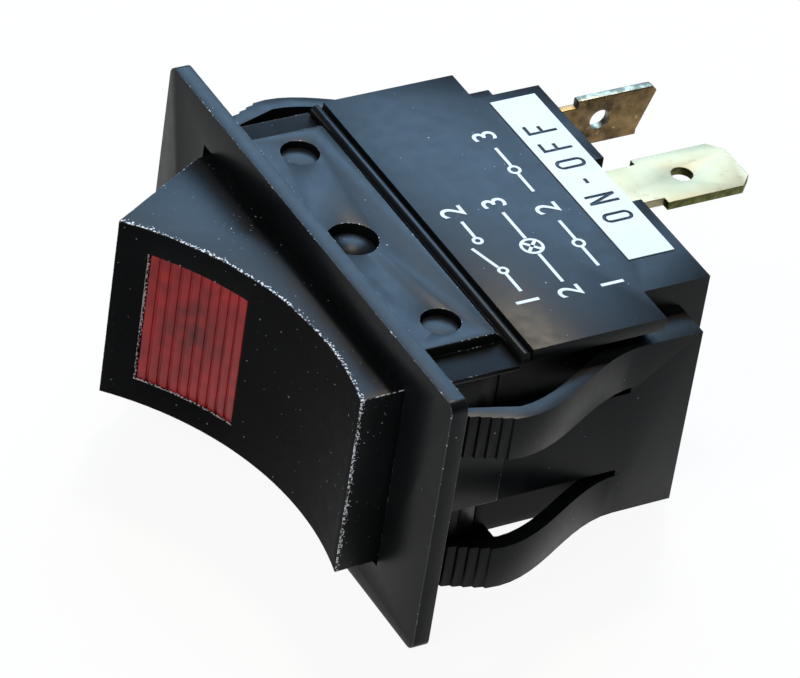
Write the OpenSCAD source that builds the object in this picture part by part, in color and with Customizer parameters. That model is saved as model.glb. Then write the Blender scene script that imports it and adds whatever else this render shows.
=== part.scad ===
// Lit panel rocker switch. A snap-in bezel frame holds the rocker, its red lens and its lamp, and a
// rear base holds the tabs and the see-saw contact that the rocker's sprung plunger tips over.
// X is the long axis, +Y is the rear and +Z is the printed broad side. The origin is the centre of
// the bezel's rear face, the plane that seats on the panel.

/* [Bezel frame] */
// Length of the bezel
bezel_l = 48.3; // [44:0.1:60]
// Height of the bezel
bezel_h = 25; // [23.5:0.1:32]
// Thickness of the bezel
bezel_t = 1.5; // [1.2:0.1:2.5]
// Corner radius of the bezel
bezel_r = 0.9; // [0.4:0.1:2]
// Depth of the collar behind the bezel
collar_d = 8.6; // [8:0.1:10]
// Thickness of the collar's broad walls
collar_wall = 1.5; // [1.3:0.05:1.8]
// Thickness of the collar's end walls
collar_end_wall = 0.65; // [0.5:0.05:1]
// Length of the lowered ledge at each end of the collar
ledge_l = 3.2; // [2:0.1:3.4]
// Drop of that ledge below the collar's face
ledge_drop = 1; // [0.6:0.05:1.1]
// Chamfer along the rear edge of the collar
collar_chamfer = 0.6; // [0.3:0.05:0.8]

/* [Rocker] */
// Width of the rocker
rocker_w = 17.5; // [17:0.1:18.5]
// Length between the rocker's two front corners
rocker_front_l = 28.4; // [27.5:0.1:29]
// Length of the rocker at its shoulders, inside the bezel
rocker_l = 33.8; // [32:0.1:34.4]
// Distance from the pivot to the front corners
rocker_corner_y = 12.4; // [11.8:0.1:13]
// Distance from the pivot to the shoulders
rocker_shoulder_y = 1.6; // [1:0.1:2.5]
// Distance from the pivot to the rear edge of the skirt
rocker_skirt_y = 0.4; // [0:0.1:1]
// Radius of the hollow front face
rocker_dish_r = 28.2; // [27:0.1:34]
// Depth of the hollow front face at its middle
rocker_dish_depth = 3.8; // [3:0.1:4.2]
// Thickness of the rocker's walls
rocker_wall = 1.35; // [1.2:0.05:1.7]
// Distance of the pivot behind the panel plane
pivot_y = 3; // [2.8:0.1:3.4]
// Diameter of the pivot studs
pivot_d = 4.2; // [3.6:0.1:4.6]
// Tilt of the rocker to either side of its middle, in degrees
rocker_tilt = 15.5; // [12:0.5:15.5]

/* [Lens and lamp] */
// Distance from the rocker's middle to the centre of the lens window
lens_x = 7.05; // [6.8:0.05:7.4]
// Length of the lens window
lens_l = 9.3; // [8:0.1:9.6]
// Width of the rocker's face on each side of the lens window
lens_side = 2.35; // [2.15:0.05:3.5]
// Depth of the lens below the rocker's face
lens_recess = 0.15; // [0.1:0.05:0.5]
// Number of ribs on the lens
lens_ribs = 10; // [8:1:18]
// Width of the grooves between the ribs
lens_groove_w = 0.3; // [0.2:0.05:0.4]
// Diameter of the lamp
lamp_d = 3.2; // [2.6:0.1:3.4]
// Length of the lamp's glass
lamp_l = 4.8; // [4:0.1:4.8]

/* [Base] */
// Setback of the base from the ends of the collar
base_inset = 0.3; // [0:0.05:0.6]
// Thickness of the base's broad walls
base_wall = 1.15; // [1.1:0.05:1.3]
// Width of the bar along the front of the base
bar_w = 1; // [0.8:0.1:1.4]
// Distance from the panel plane to the step in the base
step_y = 22.15; // [21.8:0.05:23]
// Length of the rear, narrower part of the base
rear_l = 28.1; // [27.9:0.1:29]
// Distance from the panel plane to the base's rear face
base_d = 28.5; // [28:0.1:30]
// Thickness of the base's rear wall
rear_wall = 2.2; // [1.8:0.1:2.6]

/* [Latches] */
// Thickness of the latch arms
latch_t = 1.4; // [1.1:0.1:1.6]
// Height of each latch arm
latch_h = 4.1; // [3.6:0.1:4.3]
// Gap between the two latch arms of a pair
latch_gap = 9.2; // [8.8:0.1:9.6]
// Drop of the latches below the middle plane
latch_drop = 0.65; // [0:0.05:0.7]
// Distance that a latch arm stands out from the base's end
latch_bulge = 4.8; // [4:0.1:5.2]
// Distance from the panel plane to the crest of a latch arm
latch_crest_y = 7; // [6.5:0.1:8]
// Number of teeth on the ramp of a latch arm
latch_teeth = 6; // [3:1:8]

/* [Tabs] */
// Width of the two power tabs
tab_w = 6.3; // [6:0.05:6.4]
// Width of the lamp tab
lamp_tab_w = 4.8; // [4.4:0.05:4.9]
// Thickness of the tabs
tab_t = 0.8; // [0.5:0.05:0.85]
// Length of a tab beyond its shoulders
tab_l = 8.6; // [7:0.1:9.5]
// Distance of the tabs' shoulders behind the base
tab_standoff = 2.8; // [2:0.1:3.5]
// Diameter of the hole in a tab
tab_hole_d = 1.9; // [1.4:0.1:2.2]
// Corner cut at the tip of a tab
tab_corner = 1.2; // [0.6:0.1:1.3]
// Length of the two end tabs beyond their shoulders
end_tab_l = 7.9; // [6.5:0.1:8.6]
// Distance of a tab's hole from its tip
tab_hole_back = 5.4; // [4:0.1:5.6]
// Distance from the middle to the tabs at the end
end_tab_x = 12.15; // [11.9:0.05:12.3]

/* [Contacts] */
// Distance from the rocker's pivot to the tip of the plunger
plunger_reach = 13.4; // [13.2:0.1:13.8]
// Diameter of the plunger
plunger_d = 2.4; // [2:0.1:2.5]
// Tilt of the see-saw to either side of its middle, in degrees
bridge_tilt = 7.5; // [5:0.5:8]
// Half length of the see-saw
bridge_reach = 9.8; // [9:0.1:10.2]
// Thickness of the see-saw strip
bridge_t = 0.6; // [0.4:0.05:0.7]
// Width of the see-saw strip
bridge_w = 5.2; // [4:0.1:5.4]
// Distance from the see-saw's middle to its contact
contact_x = 8.6; // [7.8:0.1:8.8]
// Diameter of the contacts
contact_d = 2.6; // [2:0.1:3]

/* [Print] */
// Length of the white field
label_l = 23; // [18:0.1:25]
// Width of the white field
label_w = 4.35; // [3.6:0.05:4.4]
// Distance of the white field's middle from the middle of the base
label_x = -1.5; // [-2:0.1:0.5]
// Distance of the words' middle from the middle of the base
words_x = -1.9; // [-3:0.1:0]
// Height of the letters
letter_h = 2.8; // [2.4:0.1:3.3]

/* [Hidden] */
$fn = 64;

// Clearances
running_gap = 0.05;
touch_gap = 0.1;
side_gap = 0.2;
swing_gap = 0.37;
slot_gap = 0.05;
over = 1;

// Bezel frame
window_l = 2 * (norm([rocker_l / 2, rocker_shoulder_y]) + swing_gap);
window_h = rocker_w + 2 * side_gap;
collar_l = window_l + 2 * collar_end_wall;
collar_h = window_h + 2 * collar_wall;
collar_top = collar_h / 2;
collar_web_h = 8.9;
snap_hole_d = 3.3;
snap_x = 11.95;
snap_y = 4.5;
tongue_l = 4;
tongue_t = 0.6;
tongue_front_y = 2.4;
tongue_depth = 2.4;

// Base
base_l = collar_l - 2 * base_inset;
base_top = collar_top;
cavity_top = base_top - base_wall;
plate_t = 1.2;
bar_gap = 0.15;
plate_y = collar_d + bar_w + bar_gap;
bar_drop = 0.15;
bar_z = base_top - bar_drop - bar_w / 2;
core_setback = 2.3;
core_l = base_l - 2 * core_setback;
core_wall = 1.4;
core_top = base_top - 0.5;
rear_side_wall = 1.15;
block_lead = 2.15;
block_setback = 2.45;
block_front_y = step_y - block_lead;
block_rear_y = base_d - block_setback;
block_half = latch_gap / 2 + latch_h;
end_web_gap = 0.6;
end_web_half = latch_gap / 2 - end_web_gap;
boss_gap = 0.15;
boss_h = 0.35;
post_half = 1.5;
post_root_y = base_d - rear_wall + 0.5;

// Latch arms
latch_root_lead = 1.65;
latch_root_y = step_y - latch_root_lead;
latch_tip_y = 0.9;
latch_tip_drop = 2.3;
latch_tip_t = 1;
sweep_steps = 12;
ramp_lead = 1.2;
ramp_y = latch_crest_y - ramp_lead;
ramp_drop = 0.12;
ramp_run = latch_tip_drop - ramp_drop;
tooth_l = (ramp_y - latch_tip_y) / latch_teeth;
tooth_d = 0.22;
tooth_lean = 0.1;
crest_x = base_l / 2 + latch_bulge;
notch_l = tab_w - 0.2;
notch_d = 1;

// Rocker
dish_y = -rocker_corner_y + rocker_dish_depth - rocker_dish_r;
front_wall = 1.6;
inner_w = rocker_w - 2 * rocker_wall;
stem_l = 4.4;
stem_w = 5;
stem_y = 9.5;
stem_root_y = dish_y + rocker_dish_r + front_wall - 0.5;
pivot_dome_r = 0.76 * pivot_d;
stud_end = collar_top - 0.25;
stud_shoulder = rocker_w / 2 + 0.8;
hub_r = 3.2;
hub_gap = 0.15;
spring_seat_y = -0.8;
bore_d = plunger_d + 2 * running_gap;

// Lamp and its wiring
lens_w = rocker_w - 2 * lens_side;
lens_lip = 0.7;
lens_lip_t = 0.6;
lens_seat_gap = 0.08;
holder_l = 4.8;
holder_front_y = -1.6;
holder_rear_y = 0.8;
pin_d = 0.4;
pin_gap = 1.4;
pin_stand = 0.6;
wire_d = 0.45;
shoe_t = 0.3;
shoe_w = 2.2;
shoe_z = 5.3;
shoe_angle = 35;
shoe_wire_angle = 60;
resistor_d = 1.8;
resistor_l = 3.4;
resistor_x = -lens_x + 1.25;
lead_in = 0.3;
lead_out = 0.8;
wire_y = 2.4;
bend_swell = 1.12;
wire_lift = 0.04;
wire_angle = shoe_wire_angle - 3;
shoe_edge = (hub_r + wire_d / 2 + wire_lift) * [-sin(wire_angle), cos(wire_angle)];
pin_end_y = holder_rear_y + pin_stand + wire_d / 2;

// Plunger and spring
plunger_tail_y = 6.6;
spring_wire_d = 0.35;
spring_turns = 7;
spring_steps = 12;

// See-saw, worked out so that the plunger's ball runs over it at one constant gap
fulcrum_y = pivot_y + plunger_reach + 1;
knuckle_r = 0.8;
ball_r = plunger_d / 2;
bridge_ratio = bridge_tilt / rocker_tilt;
function ball_in_bridge(t) = let (
        x = -(plunger_reach - ball_r) * sin(t),
        y = pivot_y + (plunger_reach - ball_r) * cos(t) - fulcrum_y,
        k = bridge_ratio * t)
    [x * cos(k) - y * sin(k), x * sin(k) + y * cos(k)];
ball_end = ball_in_bridge(rocker_tilt);
ball_mid = ball_in_bridge(0);
ball_drop = ball_mid[1] - ball_end[1];
trough_path_r = (pow(ball_end[0], 2) + pow(ball_drop, 2)) / (2 * ball_drop);
trough_r = trough_path_r + ball_r + touch_gap;
trough_centre_y = ball_mid[1] - trough_path_r;
trough_half = 3.7;
wing_y = trough_centre_y + sqrt(pow(trough_r + bridge_t / 2, 2) - pow(trough_half, 2));
button_t = 0.7;
button_face_y = wing_y + bridge_t / 2 + button_t;

// Fixed contact and terminals
fixed_apex_y = fulcrum_y + touch_gap
    + contact_x * sin(bridge_tilt) + button_face_y * cos(bridge_tilt);
fixed_x = contact_x * cos(bridge_tilt) - button_face_y * sin(bridge_tilt);
fixed_t = 1;
fixed_dome_r = 4;
arm_y = fixed_apex_y + fixed_t;
tab_neck_cut = 0.7;
shoulder_y = base_d + tab_standoff;
centre_tab_z = base_top - 0.95 - tab_t / 2;
end_tab_z = -(cavity_top - 0.1 - tab_w / 2 + tab_neck_cut);
lamp_tab_z = cavity_top - 0.4 - lamp_tab_w / 2 + tab_neck_cut;
end_tab_cut = 0.5;
end_tab_slant = 1.45;
foot_l = 2.3;
carrier_half = 2.2;
fold_y = fulcrum_y + 3;
cheek_z = bridge_w / 2 + 0.3;
cheek_t = 0.6;
cheek_half = 1.9;
cheek_lead = 1.2;
knuckle_half = cheek_z + cheek_t + 0.2;
stop_gap = 0.15;
wing_rear_y = (wing_y + bridge_t / 2) * cos(bridge_tilt);
stop_y = fulcrum_y + contact_x * sin(bridge_tilt) + wing_rear_y + stop_gap;
leaf_t = 0.3;
leaf_w = 1.8;
leaf_pad_l = 1.8;
leaf_tip_y = pivot_y + hub_r + shoe_t + hub_gap;
leaf_edge_gap = 0.2;
leaf_from_x = -1.8;
leaf_to_x = 1;
leaf_curl = 0.4;
leaf_skew = 0.15;

// Print
film_t = 0.08;
stroke = 0.34;
letter_w = 1.3;
letter_pitch = 2.58;
dash_l = 0.7;
f_bar_l = 0.8 * letter_w;

// ---- shared shapes ----

// Box by its lowest and highest corners
module span(low, high) {
    translate(low) cube(high - low);
}

module mirrored(direction) {
    children();
    mirror(direction) children();
}

// The rocker's own frame: upright, with the pivot at its origin
module at_rocker() {
    translate([0, pivot_y, 0]) rotate([0, 0, rocker_tilt]) children();
}

// The see-saw's own frame: level, with the fulcrum at its origin
module at_bridge() {
    translate([0, fulcrum_y, 0]) rotate([0, 0, -bridge_tilt]) children();
}

module z_cylinder(r, z0, z1) {
    translate([0, 0, z0]) cylinder(r = r, h = z1 - z0);
}

// Round bar between two points
module rod(a, b, d) {
    v = b - a;
    translate(a)
        rotate([0, acos(v[2] / norm(v)), atan2(v[1], v[0])])
            cylinder(d = d, h = norm(v), $fn = 24);
}

// Bent wire along a short list of points
module wire(points, d) {
    for (i = [0 : len(points) - 2]) rod(points[i], points[i + 1], d);
    for (i = [1 : len(points) - 2]) translate(points[i]) sphere(d = bend_swell * d, $fn = 24);
}

// ---- front moulding ----

module rounded_bezel() {
    rotate([90, 0, 0]) linear_extrude(bezel_t) difference() {
        square([bezel_l, bezel_h], center = true);
        for (sx = [-1, 1], sz = [-1, 1])
            translate([sx * bezel_l / 2, sz * bezel_h / 2]) difference() {
                square(2 * bezel_r, center = true);
                translate([-sx * bezel_r, -sz * bezel_r]) circle(bezel_r);
            }
    }
}

// Section of the collar with chamfered rear edges
module collar_block() {
    rotate([90, 0, 90]) translate([0, 0, -collar_l / 2]) linear_extrude(collar_l) polygon([
        [0, -collar_top], [collar_d - collar_chamfer, -collar_top],
        [collar_d, -collar_top + collar_chamfer], [collar_d, collar_top - collar_chamfer],
        [collar_d - collar_chamfer, collar_top], [0, collar_top]]);
}

module bezel_frame() {
    color([0.1, 0.12, 0.14]) difference() {
        union() {
            rounded_bezel();
            collar_block();
        }
        // Window for the rocker
        span([-window_l / 2, -bezel_t - over, -window_h / 2],
            [window_l / 2, collar_d + over, window_h / 2]);
        // Lowered ledges at the ends of both broad faces
        mirrored([1, 0, 0]) mirrored([0, 0, 1])
            span([collar_l / 2 - ledge_l, 0, collar_top - ledge_drop],
                [collar_l / 2 + over, collar_d + over, collar_top + over]);
        // Pockets in the end walls, where the latch arms flex inwards
        mirrored([1, 0, 0]) mirrored([0, 0, 1])
            span([window_l / 2 - over, 0, collar_web_h / 2],
                [collar_l / 2 + over, collar_d + over, window_h / 2]);
        // Pivot holes and snap holes
        mirrored([0, 0, 1]) {
            translate([0, pivot_y, 0])
                z_cylinder(pivot_d / 2 + running_gap, window_h / 2 - over, collar_top + over);
            mirrored([1, 0, 0]) {
                translate([snap_x, snap_y, 0])
                    z_cylinder(snap_hole_d / 2, window_h / 2 - over, collar_top + over);
                // Pocket for the base's tongue
                span([snap_x - tongue_l / 2 - slot_gap, tongue_front_y - slot_gap, window_h / 2 - over],
                    [snap_x + tongue_l / 2 + slot_gap, collar_d + over,
                        window_h / 2 + tongue_t + 2 * slot_gap]);
            }
        }
    }
}

// ---- base ----

// The latches and their end blocks sit a little below the middle plane
module at_latches() {
    translate([0, 0, -latch_drop]) children();
}

function smooth(t) = t * t * (3 - 2 * t);
// Distance of a latch arm's outer face from the middle, at a distance y behind the panel
function latch_x(y) = base_l / 2
    + latch_bulge * smooth((latch_root_y - y) / (latch_root_y - latch_crest_y));
// Distance of the ramp's outer face from the middle
function ramp_x(y) = crest_x - ramp_drop - ramp_run * (ramp_y - y) / (ramp_y - latch_tip_y);

// A latch arm sweeps out to its crest, then a toothed ramp runs in to its tip
module latch_arm() {
    tip_x = crest_x - latch_tip_drop;
    step = (latch_crest_y - latch_root_y) / sweep_steps;
    sweep = [for (i = [0 : sweep_steps]) let (y = latch_root_y + step * i) [latch_x(y), y]];
    ramp = [for (i = [0 : latch_teeth - 1], j = [0, 1]) let (y = ramp_y - i * tooth_l)
        [ramp_x(y) - j * tooth_d, y - j * tooth_lean]];
    inner = [for (i = [sweep_steps : -1 : 0]) let (p = sweep[i]) [p[0] - latch_t, p[1]]];
    translate([0, 0, latch_gap / 2]) linear_extrude(latch_h) polygon(concat(
        [[base_l / 2, latch_root_y + over]], sweep, ramp,
        [[tip_x, latch_tip_y], [tip_x - latch_tip_t, latch_tip_y]], inner,
        [[base_l / 2 - latch_t, latch_root_y + over]]));
}

// Upright slot through the rear wall for a tab that stands along Z
module tab_slot(z, w) {
    span([-end_tab_x - tab_t / 2 - slot_gap, base_d - rear_wall - over, z - w / 2 - slot_gap],
        [-end_tab_x + tab_t / 2 + slot_gap, base_d + over, z + w / 2 + slot_gap]);
}

module base_shell() {
    span([-core_l / 2, collar_d, -core_top], [core_l / 2, step_y, core_top]);
    mirrored([0, 0, 1]) {
        // Bar with a rounded edge along the front
        span([-base_l / 2, collar_d, base_top - plate_t], [base_l / 2, collar_d + bar_w, bar_z]);
        translate([0, collar_d + bar_w / 2, bar_z]) rotate([0, 90, 0])
            cylinder(d = bar_w, h = base_l, center = true);
        // Broad plates
        span([-rear_l / 2, plate_y, base_top - plate_t], [rear_l / 2, base_d, base_top]);
    }
    // The printed plate is as wide as the collar, up to the step
    span([-base_l / 2, plate_y, base_top - plate_t], [base_l / 2, step_y, base_top]);
    // Rear part
    span([-rear_l / 2, block_front_y, -core_top], [rear_l / 2, base_d, core_top]);
    mirrored([1, 0, 0]) at_latches() {
        // End wall between the latch arms
        span([core_l / 2 - over, collar_d, -end_web_half], [base_l / 2, block_front_y, end_web_half]);
        // End block that the arms grow from
        span([core_l / 2 - over, block_front_y, -block_half], [base_l / 2, step_y, block_half]);
        span([rear_l / 2 - over, step_y - over, -block_half], [base_l / 2, block_rear_y, block_half]);
    }
}

module rear_base() {
    color([0.1, 0.12, 0.14]) {
        difference() {
            base_shell();
            // Cavity for the contacts
            span([-core_l / 2 + core_wall, collar_d - over, -cavity_top],
                [core_l / 2 - core_wall, step_y - core_wall, cavity_top]);
            span([-rear_l / 2 + rear_side_wall, collar_d, -cavity_top],
                [rear_l / 2 - rear_side_wall, base_d - rear_wall, cavity_top]);
            // Channel, slot and notch for the centre tab
            span([-tab_w / 2 + tab_neck_cut - slot_gap, fold_y - 1, centre_tab_z - tab_t / 2 - slot_gap],
                [tab_w / 2 - tab_neck_cut + slot_gap, base_d + over, centre_tab_z + tab_t / 2 + slot_gap]);
            span([-notch_l / 2, base_d - notch_d, centre_tab_z],
                [notch_l / 2, base_d + over, base_top + over]);
            tab_slot(end_tab_z, tab_w - 2 * tab_neck_cut);
            tab_slot(lamp_tab_z, lamp_tab_w - 2 * tab_neck_cut);
        }
        mirrored([1, 0, 0]) {
            at_latches() mirrored([0, 0, 1]) latch_arm();
            mirrored([0, 0, 1]) {
                // Tongue and snap boss that hold the base to the collar
                span([snap_x - tongue_l / 2, tongue_front_y, window_h / 2 + slot_gap],
                    [snap_x + tongue_l / 2, collar_d + tongue_depth, window_h / 2 + slot_gap + tongue_t]);
                translate([snap_x, snap_y, window_h / 2 + tongue_t])
                    z_cylinder(snap_hole_d / 2 - boss_gap, -tongue_t / 2, boss_h);
            }
        }
        // Post that the free end of the see-saw rests on when the switch is off
        span([contact_x - 1, stop_y, -post_half], [contact_x + 1, post_root_y, post_half]);
        // Posts behind the end terminal's arm and the saddle
        span([-contact_x - 1, arm_y + tab_t, -post_half], [-contact_x + 1, post_root_y, post_half]);
        span([-post_half, fold_y + tab_t, -2 * post_half], [post_half, post_root_y, 2 * post_half]);
    }
}

// ---- rocker ----

module dish(extra) {
    translate([0, dish_y]) circle(rocker_dish_r + extra, $fn = 128);
}

// Side view of the rocker, drawn in from its outer faces by a wall, with its hollow front face
module rocker_section(wall, front, rear) {
    corner = rocker_front_l / 2 - wall;
    shoulder = rocker_l / 2 - wall;
    difference() {
        polygon([[-corner, -rocker_corner_y], [corner, -rocker_corner_y],
            [shoulder, -rocker_shoulder_y], [shoulder, rocker_skirt_y + rear],
            [-shoulder, rocker_skirt_y + rear], [-shoulder, -rocker_shoulder_y]]);
        dish(front);
    }
}

module rocker() {
    color([0.09, 0.1, 0.11]) at_rocker() difference() {
        union() {
            difference() {
                translate([0, 0, -rocker_w / 2]) linear_extrude(rocker_w) rocker_section(0, 0, 0);
                translate([0, 0, -inner_w / 2]) linear_extrude(inner_w)
                    rocker_section(rocker_wall, front_wall, over);
                // Window for the lens
                span([-lens_x - lens_l / 2, -rocker_corner_y - over, -lens_w / 2],
                    [-lens_x + lens_l / 2, -holder_l, lens_w / 2]);
            }
            // Hub across the pivot, and the stem that carries the plunger
            z_cylinder(hub_r, -rocker_w / 2, rocker_w / 2);
            span([-stem_l / 2, stem_root_y, -stem_w / 2], [stem_l / 2, stem_y, stem_w / 2]);
            // Pivot studs with domed ends
            mirrored([0, 0, 1]) rotate_extrude() intersection() {
                square([pivot_d / 2, stud_end]);
                translate([0, stud_end - pivot_dome_r]) circle(pivot_dome_r);
            }
            z_cylinder(pivot_d / 2, -stud_shoulder, stud_shoulder);
        }
        // Bore for the spring and the plunger
        translate([0, spring_seat_y, 0]) rotate([-90, 0, 0])
            cylinder(d = bore_d, h = stem_y + over - spring_seat_y);
    }
}

// Ribbed red window that shows through the rocker's face, with a lip behind the wall on three sides
module lens() {
    gap = running_gap;
    pitch = (lens_l - 2 * gap) / lens_ribs;
    color([0.62, 0.05, 0.06, 0.85]) at_rocker() {
        translate([0, 0, -lens_w / 2 + gap]) linear_extrude(lens_w - 2 * gap) difference() {
            intersection() {
                translate([-lens_x - lens_l / 2 + gap, -rocker_corner_y])
                    square([lens_l - 2 * gap, rocker_corner_y]);
                dish(front_wall + lens_seat_gap + 0.1);
            }
            dish(lens_recess);
            // Grooves between the ribs
            for (i = [0 : lens_ribs]) let (x = -lens_x - lens_l / 2 + gap + i * pitch)
                translate([x, dish_y + sqrt(pow(rocker_dish_r + lens_recess, 2) - x * x)])
                    circle(d = lens_groove_w, $fn = 16);
        }
        translate([0, 0, -lens_w / 2 - lens_lip]) linear_extrude(lens_w + 2 * lens_lip) difference() {
            intersection() {
                translate([-lens_x - lens_l / 2 - lens_lip, -rocker_corner_y])
                    square([lens_l + lens_lip - gap, rocker_corner_y]);
                dish(front_wall + lens_seat_gap + lens_lip_t);
            }
            dish(front_wall + lens_seat_gap);
        }
    }
}

// ---- lamp ----

module at_lamp() {
    at_rocker() translate([-lens_x, 0, 0]) rotate([-90, 0, 0]) children();
}

module lamp_holder() {
    color([0.85, 0.84, 0.8]) difference() {
        at_rocker() span([-lens_x - holder_l / 2, holder_front_y, -inner_w / 2],
            [-lens_x + holder_l / 2, holder_rear_y, inner_w / 2]);
        at_lamp() translate([0, 0, holder_front_y - over])
            cylinder(d = lamp_d + 2 * running_gap, h = holder_rear_y - holder_front_y + 2 * over);
    }
}

module lamp_base() {
    color([0.75, 0.74, 0.7]) at_lamp() {
        translate([0, 0, holder_front_y]) cylinder(d = lamp_d, h = holder_rear_y - holder_front_y);
        for (side = [-1, 1]) translate([0, side * pin_gap / 2, holder_front_y])
            cylinder(d = pin_d, h = holder_rear_y - holder_front_y + pin_stand);
    }
}

module lamp_glass() {
    color([0.95, 0.93, 0.85, 0.5]) at_lamp()
        translate([0, 0, holder_front_y - lamp_l]) rotate_extrude() {
            translate([0, lamp_d / 2]) square([lamp_d / 2, lamp_l - lamp_d / 2]);
            intersection() {
                translate([0, lamp_d / 2]) circle(lamp_d / 2);
                square([lamp_d / 2, lamp_d]);
            }
        }
}

// Curved shoe on the rear of the hub, struck about the pivot so that it slides under its leaf
module shoe(side) {
    far = 2 * hub_r;
    translate([0, 0, side * shoe_z - shoe_w / 2]) linear_extrude(shoe_w) difference() {
        intersection() {
            circle(hub_r + shoe_t);
            polygon([[0, 0], far * [-sin(shoe_wire_angle), cos(shoe_wire_angle)], [0, 1.2 * far],
                far * [sin(shoe_angle), cos(shoe_angle)]]);
        }
        circle(hub_r);
    }
}

// Return shoe with its tail of wire, bent up from the lamp's other pin
module return_shoe() {
    color([0.8, 0.55, 0.35]) at_rocker() {
        shoe(1);
        wire([[-lens_x, pin_end_y, pin_gap / 2], [-lens_x + 1, wire_y, shoe_z],
            [shoe_edge[0], shoe_edge[1], shoe_z]], wire_d);
    }
}

// Resistor on its own two leads, from the lamp's pin to the feed shoe
module lamp_resistor() {
    color([0.8, 0.7, 0.5]) at_rocker() {
        translate([resistor_x - resistor_l / 2, wire_y, -shoe_z]) rotate([0, 90, 0])
            cylinder(d = resistor_d, h = resistor_l);
        wire([[resistor_x + resistor_l / 2 - lead_in, wire_y, -shoe_z],
            [shoe_edge[0], shoe_edge[1], -shoe_z]], wire_d);
        wire([[resistor_x - resistor_l / 2 + lead_in, wire_y, -shoe_z],
            [resistor_x - resistor_l / 2 - lead_out, wire_y, -shoe_z],
            [-lens_x - lead_out, wire_y, -pin_gap / 2 - 1],
            [-lens_x, pin_end_y, -pin_gap / 2]], wire_d);
    }
}

module feed_shoe() {
    color([0.8, 0.55, 0.35]) at_rocker() shoe(-1);
}

// ---- plunger and spring ----

module plunger() {
    color([0.85, 0.82, 0.74]) at_rocker() translate([0, plunger_tail_y, 0]) rotate([-90, 0, 0]) {
        cylinder(d = plunger_d, h = plunger_reach - ball_r - plunger_tail_y);
        translate([0, 0, plunger_reach - ball_r - plunger_tail_y]) sphere(r = ball_r);
    }
}

// Points round the wire of the coil spring, one ring at each step of the helix
module plunger_spring() {
    sides = 6;
    rings = spring_turns * spring_steps;
    coil_r = plunger_d / 2 - spring_wire_d / 2 - 0.05;
    length = plunger_tail_y - spring_seat_y - spring_wire_d - 0.1;
    points = [for (i = [0 : rings], j = [0 : sides - 1]) let (
            turn = 360 * i / spring_steps,
            round = 360 * j / sides,
            r = coil_r + spring_wire_d / 2 * cos(round))
        [r * cos(turn), r * sin(turn), length * i / rings + spring_wire_d / 2 * sin(round)]];
    walls = [for (i = [0 : rings - 1], j = [0 : sides - 1]) let (k = (j + 1) % sides)
        [i * sides + j, i * sides + k, (i + 1) * sides + k, (i + 1) * sides + j]];
    ends = [[for (j = [sides - 1 : -1 : 0]) j], [for (j = [0 : sides - 1]) rings * sides + j]];
    color([0.8, 0.8, 0.82]) at_rocker()
        translate([0, spring_seat_y + spring_wire_d / 2 + 0.05, 0]) rotate([-90, 0, 0])
            polyhedron(points = points, faces = concat(walls, ends));
}

// ---- contacts and terminals ----

module see_saw_contact() {
    color([0.85, 0.68, 0.35]) at_bridge() {
        translate([0, 0, -bridge_w / 2]) linear_extrude(bridge_w) {
            // Trough that the plunger's ball runs in
            intersection() {
                difference() {
                    translate([0, trough_centre_y]) circle(trough_r + bridge_t);
                    translate([0, trough_centre_y]) circle(trough_r);
                }
                translate([-trough_half, trough_centre_y]) square([2 * trough_half, 2 * trough_r]);
            }
            for (side = [-1, 1])
                translate([side > 0 ? trough_half - 0.15 : -bridge_reach, wing_y - bridge_t / 2])
                    square([bridge_reach - trough_half + 0.15, bridge_t]);
        }
        z_cylinder(knuckle_r, -knuckle_half, knuckle_half);
    }
}

module moving_button() {
    color([0.86, 0.86, 0.84]) at_bridge() translate([-contact_x, wing_y + bridge_t / 2, 0])
        rotate([-90, 0, 0]) cylinder(d = contact_d, h = button_t);
}

module fixed_button() {
    color([0.86, 0.86, 0.84]) translate([-fixed_x, fixed_apex_y, 0]) rotate([-90, 0, 0]) intersection() {
        cylinder(d = contact_d, h = fixed_t);
        translate([0, 0, fixed_dome_r]) sphere(r = fixed_dome_r);
    }
}

// Flat tab in the XY plane, from its neck to its tip, with cut corners and a hole
module tab(w, neck_l, l, cut = tab_corner, slant = tab_corner) {
    neck = w / 2 - tab_neck_cut;
    tip = shoulder_y + l;
    translate([0, 0, -tab_t / 2]) linear_extrude(tab_t) difference() {
        union() {
            translate([-neck, shoulder_y - neck_l]) square([2 * neck, neck_l + over]);
            polygon([[-w / 2, shoulder_y], [w / 2, shoulder_y], [w / 2, tip - slant],
                [slant > cut ? w / 2 - cut : w / 2 - slant, slant > cut ? tip - slant : tip],
                [-w / 2 + cut, tip], [-w / 2, tip - cut]]);
        }
        translate([0, tip - tab_hole_back]) circle(d = tab_hole_d);
    }
}

// Centre terminal: its tab lies flat, and folds down into a saddle with two notched cheeks
module centre_terminal() {
    neck = tab_w / 2 - tab_neck_cut;
    color([0.88, 0.86, 0.7]) {
        translate([0, 0, centre_tab_z]) tab(tab_w, shoulder_y - fold_y, tab_l);
        span([-neck, fold_y, -cheek_z - cheek_t], [neck, fold_y + tab_t, centre_tab_z + tab_t / 2]);
        mirrored([0, 0, 1]) difference() {
            span([-cheek_half, fulcrum_y - cheek_lead, cheek_z],
                [cheek_half, fold_y + tab_t / 2, cheek_z + cheek_t]);
            translate([0, fulcrum_y, 0])
                z_cylinder(knuckle_r + running_gap, cheek_z - over, cheek_z + 2 * over);
            span([-knuckle_r - running_gap, fulcrum_y - 2 * over, cheek_z - over],
                [knuckle_r + running_gap, fulcrum_y, cheek_z + 2 * over]);
        }
    }
}

// Tab on edge at the far end, its tip cut away obliquely at the lower corner
module upright_tab(z, w) {
    translate([-end_tab_x, 0, z]) rotate([0, 90, 0])
        tab(w, shoulder_y - arm_y, end_tab_l, end_tab_cut, end_tab_slant);
}

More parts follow.
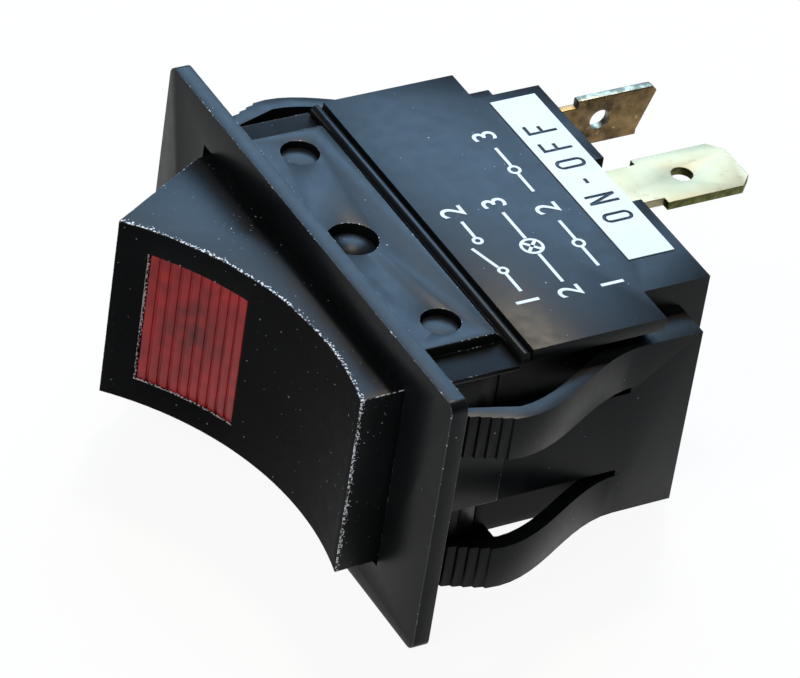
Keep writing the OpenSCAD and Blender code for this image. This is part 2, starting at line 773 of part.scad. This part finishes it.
// End terminal: its tab stands on edge, and folds towards the middle to carry the fixed contact
module end_terminal() {
    left = -end_tab_x - tab_t / 2;
    color([0.5, 0.42, 0.28]) {
        upright_tab(end_tab_z, tab_w);
        span([left, arm_y, end_tab_z - tab_w / 2 + tab_neck_cut],
            [left + foot_l, arm_y + tab_t, carrier_half]);
        span([left, arm_y, -carrier_half], [contact_d / 2 + 0.3 - contact_x, arm_y + tab_t, carrier_half]);
    }
}

// Lamp terminal: a narrower tab on edge, folded to carry the return leaf
module lamp_terminal() {
    left = -end_tab_x - tab_t / 2;
    color([0.5, 0.42, 0.28]) {
        upright_tab(lamp_tab_z, lamp_tab_w);
        span([left, arm_y, shoe_z - shoe_w / 2 - 0.2],
            [left + foot_l, arm_y + tab_t, lamp_tab_z + lamp_tab_w / 2 - tab_neck_cut]);
    }
}

// Spring leaf from a terminal to the rocker's hub, where it lies against the lamp's shoe
module leaf(side) {
    left = -end_tab_x - tab_t / 2 + leaf_edge_gap;
    translate([0, 0, side * shoe_z - leaf_w / 2]) linear_extrude(leaf_w) polygon([
        [left, arm_y], [left, arm_y - leaf_t], [left + leaf_pad_l, arm_y - leaf_t],
        [leaf_from_x, leaf_tip_y], [leaf_to_x, leaf_tip_y],
        [leaf_to_x + leaf_t, leaf_tip_y + leaf_curl], [leaf_to_x, leaf_tip_y + leaf_curl],
        [leaf_to_x - leaf_skew, leaf_tip_y + leaf_t], [leaf_from_x + leaf_skew, leaf_tip_y + leaf_t],
        [left + leaf_pad_l + leaf_t, arm_y]]);
}

module feed_leaf() {
    color([0.82, 0.6, 0.35]) leaf(-1);
}

module return_leaf() {
    color([0.82, 0.6, 0.35]) leaf(1);
}

// ---- print ----

module letter_o() {
    r = letter_w / 2;
    straight = letter_h / 2 - r;
    difference() {
        union() {
            translate([-r, -straight]) square([2 * r, 2 * straight]);
            for (side = [-1, 1]) translate([0, side * straight]) circle(r, $fn = 32);
        }
        union() {
            translate([stroke - r, -straight]) square([2 * (r - stroke), 2 * straight]);
            for (side = [-1, 1]) translate([0, side * straight]) circle(r - stroke, $fn = 32);
        }
    }
}

module letter_n() {
    for (side = [-1, 1]) translate([side * (letter_w - stroke) / 2 - stroke / 2, -letter_h / 2])
        square([stroke, letter_h]);
    polygon([[-letter_w / 2, letter_h / 2], [-letter_w / 2 + stroke, letter_h / 2],
        [letter_w / 2, -letter_h / 2], [letter_w / 2 - stroke, -letter_h / 2]]);
}

module letter_f() {
    translate([-letter_w / 2, -letter_h / 2]) square([stroke, letter_h]);
    translate([-letter_w / 2, letter_h / 2 - stroke]) square([letter_w, stroke]);
    translate([-letter_w / 2, -stroke / 2]) square([f_bar_l, stroke]);
}

// White field with the words ON - OFF left open, so that the black base shows through them
module print_field() {
    label_y = base_d - notch_d - label_w / 2;
    color("white") translate([0, 0, base_top]) linear_extrude(film_t) difference() {
        translate([label_x - label_l / 2, label_y - label_w / 2]) square([label_l, label_w]);
        translate([words_x, label_y]) rotate(180) {
            translate([-2.5 * letter_pitch, 0]) letter_o();
            translate([-1.5 * letter_pitch, 0]) letter_n();
            translate([-0.5 * letter_pitch, 0]) square([dash_l, stroke], center = true);
            translate([0.5 * letter_pitch, 0]) letter_o();
            for (i = [1.5, 2.5]) translate([i * letter_pitch, 0]) letter_f();
        }
    }
}

bezel_frame();
rear_base();
rocker();
lens();
lamp_holder();
lamp_base();
lamp_glass();
lamp_resistor();
feed_shoe();
return_shoe();
plunger();
plunger_spring();
see_saw_contact();
moving_button();
fixed_button();
centre_terminal();
end_terminal();
lamp_terminal();
feed_leaf();
return_leaf();
print_field();
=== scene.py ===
import bpy
from math import atan2, pi, radians, sqrt
from mathutils import Matrix, Vector


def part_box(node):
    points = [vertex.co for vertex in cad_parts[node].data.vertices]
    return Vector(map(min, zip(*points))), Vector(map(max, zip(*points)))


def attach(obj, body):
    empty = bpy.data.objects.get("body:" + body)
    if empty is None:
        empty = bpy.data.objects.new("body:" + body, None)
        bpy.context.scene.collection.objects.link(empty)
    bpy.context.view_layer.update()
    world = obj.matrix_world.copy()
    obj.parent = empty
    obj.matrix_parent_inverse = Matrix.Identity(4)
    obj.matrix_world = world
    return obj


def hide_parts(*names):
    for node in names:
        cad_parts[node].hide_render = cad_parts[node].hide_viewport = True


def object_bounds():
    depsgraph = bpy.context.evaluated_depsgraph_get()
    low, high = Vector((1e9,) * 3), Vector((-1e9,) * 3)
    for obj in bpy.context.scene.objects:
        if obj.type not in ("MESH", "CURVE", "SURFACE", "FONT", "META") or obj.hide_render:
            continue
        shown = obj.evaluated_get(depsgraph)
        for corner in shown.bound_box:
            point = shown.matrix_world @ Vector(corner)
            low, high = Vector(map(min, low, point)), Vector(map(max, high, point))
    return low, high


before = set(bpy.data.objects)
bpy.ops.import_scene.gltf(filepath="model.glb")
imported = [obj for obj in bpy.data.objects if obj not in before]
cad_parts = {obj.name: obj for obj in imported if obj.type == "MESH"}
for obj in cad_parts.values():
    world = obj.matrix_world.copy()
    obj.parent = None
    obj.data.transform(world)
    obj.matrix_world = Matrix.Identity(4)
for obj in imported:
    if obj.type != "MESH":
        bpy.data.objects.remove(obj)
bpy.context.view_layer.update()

MM = 0.001


# ---------------------------------------------------------------------------
# Bezel frame. One black nylon moulding: a thin rectangular flange with a deep
# collar behind it, drilled through for the rocker's pivots and for the snaps
# that hold the base. Its edges are broken by the mould and rubbed, and the pale
# nicks along them are painted glints.
# ---------------------------------------------------------------------------

def only(piece):
    """Leaves one object selected and active."""
    bpy.ops.object.select_all(action="DESELECT")
    piece.select_set(True)
    bpy.context.view_layer.objects.active = piece


def merged_copy(node, name):
    """A clean copy of a solid: its doubles merged and its flat faces made whole."""
    piece = bpy.data.objects.new(name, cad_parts[node].data.copy())
    bpy.context.scene.collection.objects.link(piece)
    only(piece)
    bpy.ops.object.mode_set(mode="EDIT")
    bpy.ops.mesh.select_all(action="SELECT")
    bpy.ops.mesh.remove_doubles(threshold=0.004 * MM)
    bpy.ops.mesh.dissolve_limited(angle_limit=radians(0.3))
    bpy.ops.object.mode_set(mode="OBJECT")
    return piece


def break_edges(piece, width, segments=2, angle=35, finish=1):
    """Rounds every edge sharper than the angle, in the second finish, and smooths the rest."""
    only(piece)
    bevel = piece.modifiers.new("moulded_edge", "BEVEL")
    bevel.width = width
    bevel.segments = segments
    bevel.limit_method = "ANGLE"
    bevel.angle_limit = radians(angle)
    bevel.use_clamp_overlap = True
    bevel.material = finish
    bpy.ops.object.modifier_apply(modifier="moulded_edge")
    bpy.ops.object.shade_smooth_by_angle(angle=radians(30))


def dress(piece, *finishes):
    """Gives a piece its materials, in the order of its slots."""
    piece.data.materials.clear()
    for finish in finishes:
        piece.data.materials.append(finish)


class Finish:
    """A node material on the piece's own coordinates, built up from plain steps."""

    def __init__(self, name, roughness=0.5, metallic=0.0, level=0.5, stretch=(1, 1, 1), turn=0.0):
        self.material = bpy.data.materials.new(name)
        self.material.use_nodes = True
        self.tree = self.material.node_tree
        self.shader = self.tree.nodes["Principled BSDF"]
        self.set("Roughness", roughness)
        self.set("Metallic", metallic)
        self.set("Specular IOR Level", level)
        place = self.node("ShaderNodeMapping")
        place.inputs["Scale"].default_value = stretch
        place.inputs["Rotation"].default_value = (0, 0, turn)
        self.join(self.node("ShaderNodeTexCoord").outputs["Object"], place.inputs["Vector"])
        self.place = place.outputs["Vector"]

    def node(self, kind):
        return self.tree.nodes.new(kind)

    def join(self, a, b):
        self.tree.links.new(a, b)

    def set(self, socket, value):
        self.shader.inputs[socket].default_value = value

    def noise(self, size, detail=2.0, rough=0.5):
        """Soft noise with features of about a size, in millimetres."""
        noise = self.node("ShaderNodeTexNoise")
        noise.inputs["Scale"].default_value = 1 / (size * MM)
        noise.inputs["Detail"].default_value = detail
        noise.inputs["Roughness"].default_value = rough
        self.join(self.place, noise.inputs["Vector"])
        return noise.outputs["Fac"]

    def ramp(self, value, low, high, at=(0.35, 0.65)):
        """A value turned into a run from one colour to another."""
        ramp = self.node("ShaderNodeValToRGB")
        for stop, spot, colour in zip(ramp.color_ramp.elements, at, (low, high)):
            stop.position = spot
            stop.color = (*colour, 1)
        self.join(value, ramp.inputs["Fac"])
        return ramp.outputs["Color"]

    def span(self, value, low, high, at=(0.35, 0.65)):
        """A value run from one number to another, and held at both ends."""
        span = self.node("ShaderNodeMapRange")
        for name, number in zip(("From Min", "From Max", "To Min", "To Max"), (*at, low, high)):
            span.inputs[name].default_value = number
        self.join(value, span.inputs["Value"])
        return span.outputs["Result"]

    def math(self, operation, a, b):
        node = self.node("ShaderNodeMath")
        node.operation = operation
        self.join(a, node.inputs[0])
        if isinstance(b, (int, float)):
            node.inputs[1].default_value = b
        else:
            self.join(b, node.inputs[1])
        return node.outputs["Value"]

    def near(self, centre, radius):
        """One at a spot on the piece, falling to nothing at a radius, both in millimetres."""
        away = self.node("ShaderNodeVectorMath")
        away.operation = "DISTANCE"
        away.inputs[1].default_value = [c * MM for c in centre]
        self.join(self.place, away.inputs[0])
        return self.span(away.outputs["Value"], 1, 0, (0, radius * MM))

    def over(self, under, colour, amount):
        """A colour laid over another where the amount says."""
        mix = self.node("ShaderNodeMix")
        mix.data_type = "RGBA"
        mix.inputs["B"].default_value = (*colour, 1)
        self.join(amount, mix.inputs["Factor"])
        self.join(under, mix.inputs["A"])
        return mix.outputs["Result"]

    def colour(self, output):
        self.join(output, self.shader.inputs["Base Color"])

    def bump(self, height, depth, strength=1.0):
        """Relief of a depth in millimetres."""
        bump = self.node("ShaderNodeBump")
        bump.inputs["Strength"].default_value = strength
        bump.inputs["Distance"].default_value = depth * MM
        self.join(height, bump.inputs["Height"])
        self.join(bump.outputs["Normal"], self.shader.inputs["Normal"])


def nylon(name, tone, gloss, level, grain=0.004, specks=0.79):
    """Moulded black nylon: a slow drift in the black, uneven gloss, sparse pale dust."""
    finish = Finish(name, gloss, level=level)
    drift = finish.ramp(finish.noise(5, 3), tone, tuple(1.3 * c for c in tone))
    dust = finish.span(finish.noise(0.3, 1), 0, 0.8, (specks, specks + 0.03))
    finish.colour(finish.over(drift, (0.5, 0.52, 0.55), dust))
    finish.join(finish.span(finish.noise(1.2, 4, 0.6), gloss - 0.03, gloss + 0.04, (0.3, 0.7)),
                finish.shader.inputs["Roughness"])
    finish.bump(finish.noise(0.22, 3), grain)
    return finish.material


def rubbed_nylon_painted_glints(name, tone, amount):
    """An edge of the same nylon, rubbed, with a broken line of pale nicks that are painted glints of light."""
    finish = Finish(name, 0.3, level=0.3)
    patch = finish.noise(2.6, 2)
    fleck = finish.math("ADD", finish.noise(0.2, 1), finish.math("MULTIPLY", patch, 0.5))
    # painted glints: pale nicks that stand in for light catching the rubbed edge
    painted_glint_nicks = finish.span(fleck, 0, 1, (1.0 - amount, 1.03 - amount))
    finish.colour(finish.over(finish.ramp(patch, tone, tuple(2 * c for c in tone)),
                              (0.8, 0.84, 0.88), painted_glint_nicks))
    finish.bump(finish.noise(0.16, 2), 0.03)
    return finish.material


body_tone = (0.0058, 0.0066, 0.0072)
body_nylon = nylon("body_nylon", body_tone, 0.33, 0.12)
# edge finish of the bezel and base, with painted glints as pale nicks
body_edge = rubbed_nylon_painted_glints("body_edge", (0.012, 0.014, 0.017), 0.06)

bezel = merged_copy("bezel_frame", "bezel")
dress(bezel, body_nylon, body_edge)
break_edges(bezel, 0.14 * MM)
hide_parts("bezel_frame")
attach(bezel, "switch_body")


# ---------------------------------------------------------------------------
# Rear base. The second black nylon moulding: a stepped box with a rounded bar
# along its front and two sprung latch arms at each end, whose toothed ramps
# hold the switch in its panel.
# ---------------------------------------------------------------------------

base = merged_copy("rear_base", "base")
dress(base, body_nylon, body_edge)
break_edges(base, 0.1 * MM)
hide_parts("rear_base")
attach(base, "switch_body")


# ---------------------------------------------------------------------------
# Rocker. Black nylon, hollow at the back and dished along its front, turning
# on two domed studs that spring into the frame's holes. Fingers have worn the
# rim of its front, and the line of bright nicks along it is painted glints.
# ---------------------------------------------------------------------------

pivot = Vector((0, 3, 0)) * MM
tilt = radians(15.5)
rocker_w = 17.5 * MM
corner = Vector((14.2, -12.4)) * MM
dish_r = 28.2 * MM
dish_y = corner.y + 3.8 * MM - dish_r


def upright(point):
    """A place at rest, seen in the rocker's own upright frame."""
    return Matrix.Rotation(-tilt, 3, "Z") @ (point - pivot)


rocker = merged_copy("rocker", "rocker_cap")
rocker_tone = (0.0052, 0.0055, 0.0058)

# The cheeks: nylon with a band of pale nicks along the worn dished rim, painted as glints of light
cheek = Finish("rocker_cheek", 0.36, level=0.12)
dish_middle = pivot + Matrix.Rotation(tilt, 3, "Z") @ Vector((0, dish_y, 0))
flat = cheek.node("ShaderNodeVectorMath")
flat.operation = "MULTIPLY"
flat.inputs[1].default_value = (1, 1, 0)
cheek.join(cheek.place, flat.inputs[0])
away = cheek.node("ShaderNodeVectorMath")
away.operation = "DISTANCE"
away.inputs[1].default_value = dish_middle
cheek.join(flat.outputs["Vector"], away.inputs[0])
# painted glints: a band of pale nicks along the rim, where light catches the worn edge
rim_glint_band = cheek.span(away.outputs["Value"], 0.34, 0, (dish_r, dish_r + 0.6 * MM))
speckle = cheek.math("ADD", cheek.noise(0.2, 1), cheek.math("MULTIPLY", cheek.noise(3.5, 1), 0.25))
painted_glint_nicks = cheek.span(cheek.math("ADD", speckle, rim_glint_band), 0, 1, (0.9, 0.93))
cheek.colour(cheek.over(cheek.ramp(cheek.noise(5, 3), body_tone, (0.0085, 0.0095, 0.0105)),
                        (0.85, 0.88, 0.92), painted_glint_nicks))
cheek.bump(cheek.noise(0.3, 3), 0.012)
# the rocker's bevelled front edges take the edge finish with painted glints
dress(rocker, cheek.material,
      rubbed_nylon_painted_glints("rocker_edge", (0.008, 0.009, 0.01), 0.2),
      nylon("rocker_face_nylon", rocker_tone, 0.5, 0.02, 0.01, 0.77))
only(rocker)
bpy.context.tool_settings.mesh_select_mode = (False, True, False)
bpy.ops.object.mode_set(mode="EDIT")
bpy.ops.mesh.select_all(action="DESELECT")
bpy.ops.mesh.edges_select_sharp(sharpness=radians(35))
bpy.ops.object.mode_set(mode="OBJECT")
for edge in rocker.data.edges:
    ends = [upright(rocker.data.vertices[v].co) for v in edge.vertices]
    middle = (ends[0] + ends[1]) / 2
    outside = all(abs(p.z) > rocker_w / 2 - 0.02 * MM or
                  (abs(p.x) > corner.x - 0.1 * MM and p.y < corner.y + 0.1 * MM) for p in ends)
    edge.select = edge.select and outside and middle.y < -2.2 * MM
for face in rocker.data.polygons:
    face.select = False
    turned = Matrix.Rotation(-tilt, 3, "Z") @ face.normal
    spot = upright(face.center)
    if turned.y < -0.8 and spot.y < -7 * MM:
        face.material_index = 2
for vertex in rocker.data.vertices:
    vertex.select = False
bpy.ops.object.mode_set(mode="EDIT")
bpy.ops.mesh.bevel(offset=0.42 * MM, segments=4, affect="EDGES", clamp_overlap=True, material=1)
bpy.ops.mesh.select_all(action="DESELECT")
bpy.ops.mesh.select_mode(type="FACE")
bpy.ops.object.mode_set(mode="OBJECT")
break_edges(rocker, 0.12 * MM, angle=50, finish=-1)
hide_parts("rocker")
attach(rocker, "rocker_body")


# ---------------------------------------------------------------------------
# Lens. Translucent red acrylic, ribbed across its face, pushed in from behind
# so that its lip seats against the rocker's wall.
# ---------------------------------------------------------------------------

lens = merged_copy("lens", "red_lens")

red = Finish("red_acrylic", 0.3, level=0.3)
deep = red.ramp(red.noise(1.6, 3), (0.25, 0.007, 0.008), (0.4, 0.012, 0.012))
worn = red.math("MULTIPLY", red.near((-4.3, -7.9, 0.8), 4.6), red.span(red.noise(1.4, 3), 0.15, 1))
red.colour(red.over(deep, (0.07, 0.01, 0.011), worn))
red.bump(red.noise(0.3, 2), 0.006)
dress(lens, red.material)
break_edges(lens, 0.06 * MM, finish=-1)
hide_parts("lens")
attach(lens, "rocker_body")


# ---------------------------------------------------------------------------
# Lamp. A small glass bulb on a ceramic base, pressed into a pale nylon holder
# behind the lens, with a resistor in one lead and a bronze shoe on each.
# ---------------------------------------------------------------------------

def plain(name, low, high, size, roughness, metallic=0.0, depth=0.004, stretch=(1, 1, 1)):
    """A finish whose colour and relief both follow one noise."""
    finish = Finish(name, roughness, metallic, stretch=stretch)
    grain = finish.noise(size, 3, 0.55)
    finish.colour(finish.ramp(grain, low, high))
    finish.bump(grain, depth)
    return finish.material


dress(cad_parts["lamp_holder"], plain("natural_nylon", (0.6, 0.58, 0.52), (0.74, 0.72, 0.66), 0.8, 0.5))
dress(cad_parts["lamp_base"], plain("lamp_ceramic", (0.62, 0.6, 0.55), (0.78, 0.77, 0.73), 0.4, 0.6))
glass = Finish("lamp_glass", 0.05)
glass.set("Transmission Weight", 0.9)
glass.colour(glass.ramp(glass.noise(2, 1), (0.86, 0.86, 0.82), (0.96, 0.96, 0.94)))
dress(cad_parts["lamp_glass"], glass.material)
dress(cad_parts["lamp_resistor"], plain("resistor_lacquer", (0.5, 0.38, 0.2), (0.62, 0.5, 0.3), 0.5, 0.35))
bronze = plain("spring_bronze", (0.5, 0.27, 0.12), (0.68, 0.42, 0.2), 0.7, 0.35, 1.0, 0.002, (0.2, 1, 1))
for node in ("feed_shoe", "return_shoe", "feed_leaf", "return_leaf"):
    dress(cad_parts[node], bronze)


# ---------------------------------------------------------------------------
# Switch works. A sprung acetal plunger slides in the rocker's stem and tips a
# brass see-saw, whose silver button meets a fixed one.
# ---------------------------------------------------------------------------

dress(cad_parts["plunger"], plain("acetal", (0.62, 0.59, 0.5), (0.74, 0.72, 0.64), 1.0, 0.35))
dress(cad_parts["plunger_spring"],
      plain("drawn_steel", (0.42, 0.42, 0.44), (0.62, 0.62, 0.64), 0.3, 0.28, 1.0, 0.001))
dress(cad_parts["see_saw_contact"],
      plain("rolled_brass", (0.6, 0.42, 0.17), (0.78, 0.58, 0.28), 0.8, 0.3, 1.0, 0.002, (0.15, 1, 1)))
silver = plain("contact_silver", (0.62, 0.62, 0.6), (0.82, 0.82, 0.8), 0.5, 0.25, 1.0, 0.002)
for node in ("moving_button", "fixed_button"):
    dress(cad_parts[node], silver)


# ---------------------------------------------------------------------------
# Terminals. Tabs stamped from 0.8 mm strip: the centre one pale, the two end
# ones tarnished dark. The shears leave their edges duller than their faces.
# ---------------------------------------------------------------------------

pale = Finish("pale_brass", 0.6, 1.0)
pale.colour(pale.over(pale.ramp(pale.noise(3.5, 3), (0.4, 0.35, 0.22), (0.46, 0.41, 0.27)),
                      (0.3, 0.27, 0.17), pale.span(pale.noise(1.1, 4, 0.6), 0, 0.6, (0.6, 0.72))))
pale.bump(pale.noise(0.5, 4, 0.6), 0.003)
sheared = Finish("sheared_edge", 0.55, 1.0)
sheared.colour(sheared.ramp(sheared.noise(0.5, 3), (0.09, 0.1, 0.03), (0.2, 0.2, 0.08), (0.4, 0.7)))
sheared.bump(sheared.noise(0.2, 2), 0.006)
dark = Finish("dark_bronze", 0.42, 1.0)
tarnish = dark.ramp(dark.noise(2.2, 4, 0.6), (0.055, 0.04, 0.02), (0.3, 0.2, 0.09), (0.38, 0.72))
dark.colour(dark.over(tarnish, (0.5, 0.4, 0.22), dark.span(dark.noise(0.7, 3), 0, 0.5, (0.66, 0.74))))
dark.bump(dark.noise(0.5, 3), 0.006)
dark_edge = Finish("dark_sheared_edge", 0.45, 1.0)
dark_edge.colour(dark_edge.ramp(dark_edge.noise(0.8, 3), (0.1, 0.1, 0.07), (0.4, 0.38, 0.28), (0.4, 0.7)))
dark_edge.bump(dark_edge.noise(0.25, 2), 0.01)


def stamped(node, name, faces_along, face_finish, edge_finish):
    """A terminal with coined edges, its faces in one finish and its sheared sides in another."""
    tab = merged_copy(node, name)
    dress(tab, face_finish, edge_finish)
    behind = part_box("rear_base")[1][1]
    for face in tab.data.polygons:
        if face.center.y > behind and abs(face.normal[faces_along]) < 0.7:
            face.material_index = 1
    break_edges(tab, 0.09 * MM, finish=-1)
    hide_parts(node)
    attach(tab, "switch_body")


stamped("centre_terminal", "centre_tab", 2, pale.material, sheared.material)
stamped("end_terminal", "end_tab", 0, dark.material, dark_edge.material)
stamped("lamp_terminal", "lamp_tab", 0, dark.material, dark_edge.material)


# ---------------------------------------------------------------------------
# Print. Pad-printed white ink on the broad side: a field with the two switch
# positions left open in it, and rows of plain terminal numbers and symbols.
# ---------------------------------------------------------------------------

ink = Finish("white_ink", 0.55, level=0.3)
ink.colour(ink.over(ink.ramp(ink.noise(4, 3), (0.8, 0.85, 0.9), (0.86, 0.9, 0.94)), (0.45, 0.5, 0.56),
                    ink.span(ink.noise(0.35, 2), 0, 0.7, (0.7, 0.78))))
ink.bump(ink.noise(0.3, 2), 0.002)
dress(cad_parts["print_field"], ink.material)

print_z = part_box("print_field")[0][2] + 0.02 * MM
letter_h = 2.1 * MM
line_w = 0.3 * MM
printed = []


def printed_number(text, x, y):
    """A plain number, read from the far side of the switch."""
    bpy.ops.object.select_all(action="DESELECT")
    bpy.ops.object.text_add(location=(x, y, print_z), rotation=(0, 0, pi))
    number = bpy.context.object
    number.data.body = text
    number.data.size = letter_h / 0.69
    number.data.align_x = "CENTER"
    number.data.align_y = "CENTER"
    number.data.extrude = 0.01 * MM
    number.data.offset = 0.02 * MM
    number.data.resolution_u = 6
    bpy.ops.object.convert(target="MESH")
    bpy.ops.object.transform_apply(location=True, rotation=True, scale=True)
    printed.append(bpy.context.object)


def printed_line(x0, y0, x1, y1):
    """A straight stroke of ink."""
    bpy.ops.object.select_all(action="DESELECT")
    bpy.ops.mesh.primitive_cube_add(size=1, location=((x0 + x1) / 2, (y0 + y1) / 2, print_z),
                                    rotation=(0, 0, atan2(y1 - y0, x1 - x0)))
    line = bpy.context.object
    line.scale = (sqrt((x1 - x0) ** 2 + (y1 - y0) ** 2), line_w, 0.02 * MM)
    bpy.ops.object.transform_apply(location=True, rotation=True, scale=True)
    printed.append(line)


def printed_ring(x, y, r):
    """A ring of ink, cut from a disc by an inset."""
    bpy.ops.object.select_all(action="DESELECT")
    bpy.ops.mesh.primitive_circle_add(vertices=32, radius=r, fill_type="NGON", location=(x, y, print_z))
    ring = bpy.context.object
    bpy.ops.object.transform_apply(location=True, rotation=True, scale=True)
    bpy.ops.object.mode_set(mode="EDIT")
    bpy.ops.mesh.select_mode(type="FACE")
    bpy.ops.mesh.select_all(action="SELECT")
    bpy.ops.mesh.inset(thickness=line_w * 0.9, depth=0)
    bpy.ops.mesh.delete(type="FACE")
    bpy.ops.object.mode_set(mode="OBJECT")
    printed.append(ring)


row_y = (12.6 * MM, 16.5 * MM, 20.4 * MM)
# First row: the switched pair, 1 to 2, drawn open
printed_number("1", 12.0 * MM, row_y[0])
printed_line(10.7 * MM, row_y[0], 8.3 * MM, row_y[0])
printed_ring(7.8 * MM, row_y[0], 0.5 * MM)
printed_line(7.3 * MM, row_y[0] - 0.2 * MM, 4.4 * MM, row_y[0] - 1.0 * MM)
printed_ring(3.6 * MM, row_y[0], 0.5 * MM)
printed_line(3.1 * MM, row_y[0], 0.9 * MM, row_y[0])
printed_number("2", -0.5 * MM, row_y[0])
# Second row: the lamp, 2 to 3
printed_number("2", 12.0 * MM, row_y[1])
printed_line(10.7 * MM, row_y[1], 6.8 * MM, row_y[1])
printed_ring(5.7 * MM, row_y[1], 1.05 * MM)
for way in (-1, 1):
    printed_line(5.7 * MM - 0.6 * MM, row_y[1] - way * 0.6 * MM, 5.7 * MM + 0.6 * MM, row_y[1] + way * 0.6 * MM)
printed_line(4.6 * MM, row_y[1], 0.9 * MM, row_y[1])
printed_number("3", -0.5 * MM, row_y[1])
# Third row: the three terminals, in order
for i, text in enumerate("123"):
    printed_number(text, (12.2 - 10.6 * i) * MM, row_y[2])
for i in range(2):
    left = (9.8 - 10.6 * i) * MM
    printed_line(left, row_y[2], left - 2.6 * MM, row_y[2])
    printed_ring(left - 3.2 * MM, row_y[2], 0.6 * MM)
    printed_line(left - 3.8 * MM, row_y[2], left - 6.4 * MM, row_y[2])

bpy.ops.object.select_all(action="DESELECT")
for stroke in printed:
    stroke.select_set(True)
bpy.context.view_layer.objects.active = printed[0]
bpy.ops.object.join()
rows = bpy.context.object
rows.name = "terminal_print"
dress(rows, ink.material)
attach(rows, "switch_body")


# ---------------------------------------------------------------------------
# Studio. A plain pale floor, a broad cool light from behind that the printed
# side reflects, a small warm one above it, a weak fill, and the camera.
# ---------------------------------------------------------------------------

bpy.ops.object.select_all(action="DESELECT")
bpy.ops.mesh.primitive_plane_add(size=6, location=(0, 0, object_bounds()[0][2] - 0.02 * MM))
floor = bpy.context.object
floor.name = "floor"
paper = bpy.data.materials.new("white_paper")
paper.use_nodes = True
nodes, links = paper.node_tree.nodes, paper.node_tree.links
nodes["Principled BSDF"].inputs["Base Color"].default_value = (0.9, 0.9, 0.9, 1)
nodes["Principled BSDF"].inputs["Roughness"].default_value = 0.9
path = nodes.new("ShaderNodeLightPath")
glow = nodes.new("ShaderNodeEmission")
seen, straight, weight = (nodes.new("ShaderNodeMath") for _ in range(3))
seen.operation = straight.operation = "MAXIMUM"
weight.operation = "MULTIPLY"
weight.inputs[1].default_value = 0.93
mix = nodes.new("ShaderNodeMixShader")
links.new(path.outputs["Is Camera Ray"], seen.inputs[0])
links.new(path.outputs["Is Glossy Ray"], seen.inputs[1])
links.new(seen.outputs[0], straight.inputs[0])
links.new(path.outputs["Is Transmission Ray"], straight.inputs[1])
links.new(straight.outputs[0], weight.inputs[0])
links.new(weight.outputs[0], mix.inputs["Fac"])
links.new(nodes["Principled BSDF"].outputs[0], mix.inputs[1])
links.new(glow.outputs[0], mix.inputs[2])
links.new(mix.outputs[0], nodes["Material Output"].inputs["Surface"])
floor.data.materials.append(paper)

world = bpy.data.worlds.new("studio")
bpy.context.scene.world = world
world.use_nodes = True
world.node_tree.nodes["Background"].inputs["Color"].default_value = (0.8, 0.86, 0.95, 1)
world.node_tree.nodes["Background"].inputs["Strength"].default_value = 0.12


def softbox(name, towards, distance, size, power, colour):
    """A square lamp that faces the part from a direction."""
    place = Vector(towards).normalized() * distance
    data = bpy.data.lights.new(name, "AREA")
    data.size = size
    data.energy = power
    data.color = colour
    lamp = bpy.data.objects.new(name, data)
    lamp.location = place
    lamp.rotation_euler = place.to_track_quat("Z", "Y").to_euler()
    bpy.context.scene.collection.objects.link(lamp)


softbox("sky", (-0.655, 0.436, 0.617), 0.6, 0.36, 4.0, (0.38, 0.66, 1.0))
softbox("sun", (-0.35, 0.25, 0.90), 0.8, 0.08, 3.2, (1.0, 0.84, 0.64))
softbox("fill", (0.3, -0.8, 0.9), 0.9, 0.25, 2.2, (1.0, 0.97, 0.93))

right = Vector((0.4773, 0.8696, 0.1265))
up = Vector((-0.5813, 0.2044, 0.7876))
back = Vector((0.6590, -0.4494, 0.6031))
eye = bpy.data.cameras.new("camera")
eye.sensor_width = 36
eye.lens = 232.34
eye.clip_start = 0.01
camera = bpy.data.objects.new("camera", eye)
camera.matrix_world = (Matrix.Translation((0.28001, -0.18188, 0.25489))
                       @ Matrix((right, up, back)).transposed().to_4x4())
bpy.context.scene.collection.objects.link(camera)
bpy.context.scene.camera = camera
bpy.context.scene.view_settings.view_transform = "Standard"
